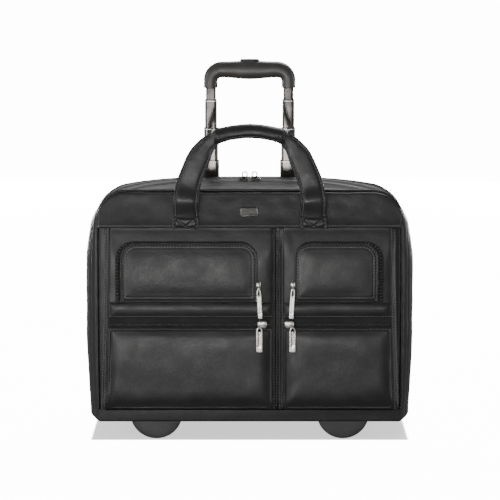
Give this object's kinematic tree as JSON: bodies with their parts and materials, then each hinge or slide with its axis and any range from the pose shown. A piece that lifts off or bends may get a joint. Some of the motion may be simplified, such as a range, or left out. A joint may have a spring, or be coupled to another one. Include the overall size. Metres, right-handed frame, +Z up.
{
  "type": "rolling laptop case",
  "caption": "Soft-sided wheeled laptop case with a padded carry handle, zipped front pockets, an opening front and a telescoping trolley handle.",
  "frame": {"origin": "on the floor, under the middle of the object's box", "axes": "+Z up, -Y is the front with the pockets, +X is to the right of a person facing the front"},
  "size_m": [0.4336, 0.181, 0.4905],
  "materials": {
    "leather": "smooth black cowhide with a fine grain and a soft sheen",
    "piping": "rolled leather cord, polished on its crown",
    "lining": "woven grey lining",
    "zip_nylon": "woven tape with nylon coil teeth",
    "backing_fabric": "dense black nylon weave",
    "board": "stiff base board",
    "moulded_plastic": "satin moulded plastic",
    "grip_plastic": "warm dark grey satin plastic",
    "wheel_rubber": "hard rubber tread",
    "tube_metal": "dark anodised and polished",
    "steel": "plain turned steel",
    "nickel": "satin nickel plate",
    "badge_metal": "dark nickel plate"
  },
  "bodies": {
    "case": {"rear_shell": "leather", "base_cover": "leather", "base_plate": "board", "rear_piping": "piping", "laptop_sleeve": "lining", "main_zip_rear": "zip_nylon", "foot_left": "moulded_plastic", "foot_right": "moulded_plastic", "wheel_housing_left": "moulded_plastic", "wheel_housing_right": "moulded_plastic", "axle_left": "steel", "axle_right": "steel", "outer_tube_left": "tube_metal", "outer_tube_right": "tube_metal", "lower_bracket": "moulded_plastic", "upper_bracket": "moulded_plastic", "trolley_cover": "backing_fabric"},
    "front": {"front_shell": "leather", "front_piping": "piping", "yoke": "leather", "organiser_panel": "lining", "badge": "badge_metal", "main_zip_front": "zip_nylon", "pocket_left": "leather", "pocket_right": "leather", "pocket_flap_left": "leather", "pocket_flap_right": "leather", "strap_anchor_left": "leather", "strap_anchor_right": "leather"},
    "carry_handle": {"carry_grip": "leather", "strap_left": "leather", "strap_right": "leather"},
    "wheel_left": {"tyre_left": "wheel_rubber", "hub_left": "moulded_plastic"},
    "wheel_right": {"tyre_right": "wheel_rubber", "hub_right": "moulded_plastic"},
    "trolley_c": {"stage_c_tube_left": "tube_metal", "stage_c_tube_right": "tube_metal"},
    "trolley_b": {"stage_b_tube_left": "tube_metal", "stage_b_tube_right": "tube_metal"},
    "trolley_a": {"stage_a_tube_left": "tube_metal", "stage_a_tube_right": "tube_metal", "trolley_grip": "grip_plastic"},
    "release": {"release_bar": "steel", "release_button": "grip_plastic"},
    "lower_left_slider": {"slider_lower_left": "nickel"},
    "lower_right_slider": {"slider_lower_right": "nickel"},
    "upper_left_slider": {"slider_upper_left": "nickel"},
    "upper_right_slider": {"slider_upper_right": "nickel"},
    "main_left_slider": {"slider_main_left": "badge_metal"},
    "main_right_slider": {"slider_main_right": "badge_metal"},
    "lower_left_pull": {"pull_lower_left": "nickel"},
    "lower_right_pull": {"pull_lower_right": "nickel"},
    "upper_left_pull": {"pull_upper_left": "nickel"},
    "upper_right_pull": {"pull_upper_right": "nickel"},
    "main_left_pull": {"pull_main_left": "badge_metal"},
    "main_right_pull": {"pull_main_right": "badge_metal"}
  },
  "joints": [
    {"name": "front_open", "type": "hinge", "parent": "case", "child": "front", "pos_m": [0, -0.064, 0.0407], "axis": [1, 0, 0], "range_deg": [0, 28]},
    {"name": "carry_swing", "type": "hinge", "parent": "front", "child": "carry_handle", "pos_m": [0, -0.0805, 0.299], "axis": [1, 0, 0], "range_deg": [0, 140]},
    {"name": "wheel_left_spin", "type": "hinge", "parent": "case", "child": "wheel_left", "pos_m": [-0.124, 0.0572, 0.0333], "axis": [1, 0, 0], "continuous": true},
    {"name": "wheel_right_spin", "type": "hinge", "parent": "case", "child": "wheel_right", "pos_m": [0.124, 0.0572, 0.0333], "axis": [1, 0, 0], "continuous": true},
    {"name": "trolley_c_slide", "type": "slide", "parent": "case", "child": "trolley_c", "axis": [0, 0, 1], "range_m": [-0.04, 0.17]},
    {"name": "trolley_b_slide", "type": "slide", "parent": "trolley_c", "child": "trolley_b", "axis": [0, 0, 1], "range_m": [-0.033, 0.175]},
    {"name": "trolley_a_slide", "type": "slide", "parent": "trolley_b", "child": "trolley_a", "axis": [0, 0, 1], "range_m": [-0.012, 0.19]},
    {"name": "release_press", "type": "slide", "parent": "trolley_a", "child": "release", "axis": [0, 0, -1], "range_m": [0, 0.003], "stiffness_N_per_m": 600, "springref_m": -0.006},
    {"name": "lower_left_zip", "type": "slide", "parent": "front", "child": "lower_left_slider", "axis": [-1, 0, 0], "range_m": [0, 0.185]},
    {"name": "lower_right_zip", "type": "slide", "parent": "front", "child": "lower_right_slider", "axis": [1, 0, 0], "range_m": [0, 0.125]},
    {"name": "upper_left_zip", "type": "slide", "parent": "front", "child": "upper_left_slider", "axis": [0, 0, 1], "range_m": [0, 0.022]},
    {"name": "upper_right_zip", "type": "slide", "parent": "front", "child": "upper_right_slider", "axis": [0, 0, 1], "range_m": [0, 0.022]},
    {"name": "main_left_zip", "type": "slide", "parent": "case", "child": "main_left_slider", "axis": [-0.9998, 0, -0.02], "range_m": [0, 0.09]},
    {"name": "main_right_zip", "type": "slide", "parent": "case", "child": "main_right_slider", "axis": [0.9998, 0, -0.02], "range_m": [0, 0.09]},
    {"name": "lower_left_pull_swing", "type": "hinge", "parent": "lower_left_slider", "child": "lower_left_pull", "pos_m": [0.0126, -0.0896, 0.1501], "axis": [-1, 0, 0], "range_deg": [0, 120]},
    {"name": "lower_right_pull_swing", "type": "hinge", "parent": "lower_right_slider", "child": "lower_right_pull", "pos_m": [0.0556, -0.0896, 0.1501], "axis": [-1, 0, 0], "range_deg": [0, 120]},
    {"name": "upper_left_pull_swing", "type": "hinge", "parent": "upper_left_slider", "child": "upper_left_pull", "pos_m": [0.0116, -0.0896, 0.2011], "axis": [-1, 0, 0], "range_deg": [0, 120]},
    {"name": "upper_right_pull_swing", "type": "hinge", "parent": "upper_right_slider", "child": "upper_right_pull", "pos_m": [0.056, -0.0896, 0.2011], "axis": [-1, 0, 0], "range_deg": [0, 120]},
    {"name": "main_left_pull_swing", "type": "hinge", "parent": "main_left_slider", "child": "main_left_pull", "pos_m": [-0.0065, 0.0075, 0.339], "axis": [1, 0, 0], "range_deg": [0, 100]},
    {"name": "main_right_pull_swing", "type": "hinge", "parent": "main_right_slider", "child": "main_right_pull", "pos_m": [0.0065, 0.0075, 0.339], "axis": [1, 0, 0], "range_deg": [0, 100]}
  ]
}
